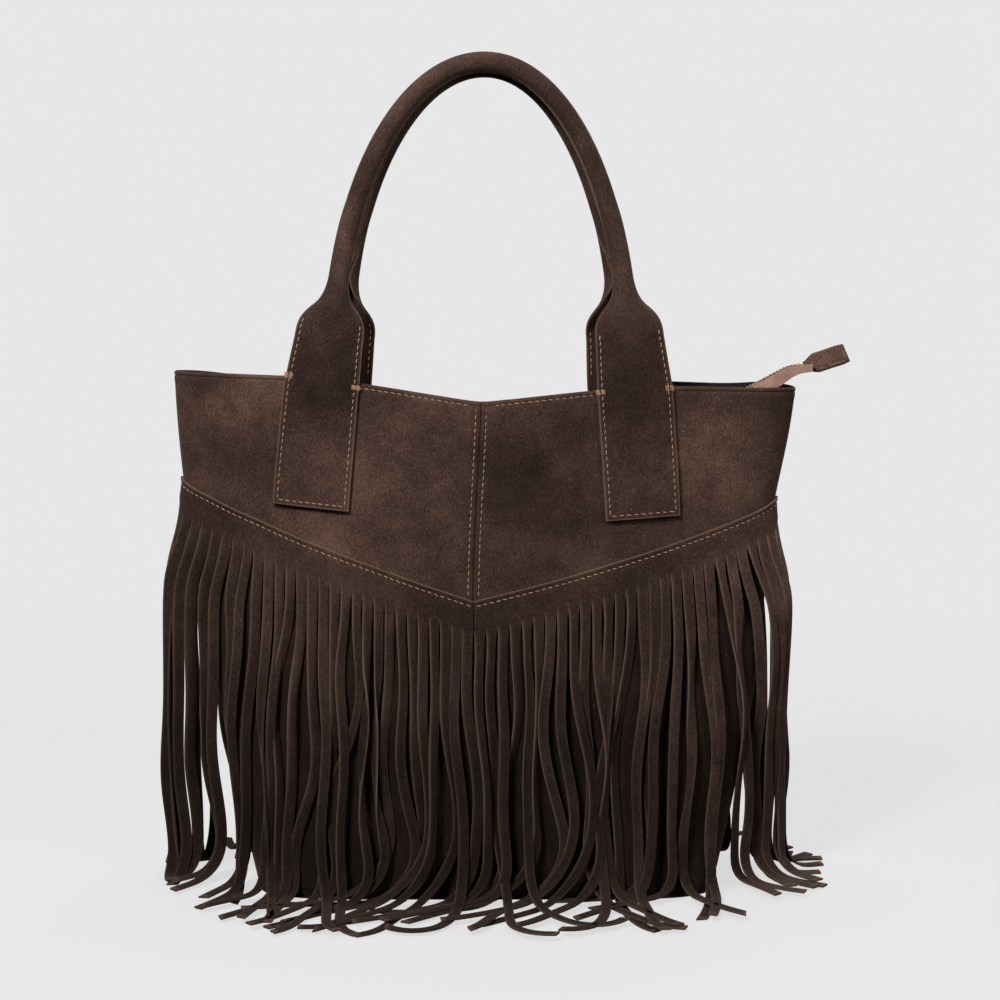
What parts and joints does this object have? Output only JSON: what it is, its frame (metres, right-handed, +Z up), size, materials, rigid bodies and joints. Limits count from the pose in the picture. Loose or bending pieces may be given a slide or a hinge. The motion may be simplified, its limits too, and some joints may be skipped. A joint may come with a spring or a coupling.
{
  "type": "fringed suede tote bag",
  "caption": "Open suede tote bag with a stitched yoke, a long chevron fringe on both faces, rolled handles and a zip whose tail stands out past one corner.",
  "frame": {"origin": "middle of the flat base, on the surface the bag stands on", "axes": "+Z up, +X towards the corner where the zip's tail comes out, -Y towards the front face"},
  "size_m": [0.4352, 0.27, 0.5335],
  "materials": {
    "suede": "dark brown suede with a brushed nap",
    "facing": "black woven facing",
    "lining": "black woven lining",
    "board": "stiff fibre board",
    "zip_tape": "tan woven zip tape",
    "rope": "soft filler rope",
    "zip_metal": "dull antique brass"
  },
  "bodies": {
    "bag": {"front_yoke_left": "suede", "front_yoke_right": "suede", "back_yoke_left": "suede", "back_yoke_right": "suede", "front_lower_panel": "suede", "back_lower_panel": "suede", "base_panel": "suede", "base_board": "board", "front_fringe_left": "suede", "front_fringe_right": "suede", "back_fringe_left": "suede", "back_fringe_right": "suede", "front_top_facing": "facing", "back_top_facing": "facing", "lining": "lining", "zip_tape_front": "zip_tape", "zip_tape_back": "zip_tape", "zip_teeth_front": "zip_metal", "zip_teeth_back": "zip_metal", "zip_top_stop_front": "zip_metal", "zip_top_stop_back": "zip_metal", "zip_bottom_stop": "zip_metal", "zip_end_tab": "suede", "front_handle_tab_left": "suede", "front_handle_tab_right": "suede", "back_handle_tab_left": "suede", "back_handle_tab_right": "suede"},
    "front_handle": {"front_handle_cover": "suede", "front_handle_core": "rope"},
    "back_handle": {"back_handle_cover": "suede", "back_handle_core": "rope"},
    "slider": {"zip_slider": "zip_metal"},
    "pull": {"zip_pull": "zip_metal"}
  },
  "joints": [
    {"name": "front_handle_swing", "type": "hinge", "parent": "bag", "child": "front_handle", "pos_m": [0, -0.037, 0.321], "axis": [1, 0, 0], "range_deg": [0, 150]},
    {"name": "back_handle_swing", "type": "hinge", "parent": "bag", "child": "back_handle", "pos_m": [0, 0.037, 0.321], "axis": [1, 0, 0], "range_deg": [-150, 0]},
    {"name": "zip_slide", "type": "slide", "parent": "bag", "child": "slider", "axis": [0.8799, 0, 0.4752], "range_m": [0, 0.042]},
    {"name": "zip_pull_swing", "type": "hinge", "parent": "slider", "child": "pull", "pos_m": [0.14911, 0, 0.31348], "axis": [0, 1, 0], "range_deg": [0, 170]}
  ]
}
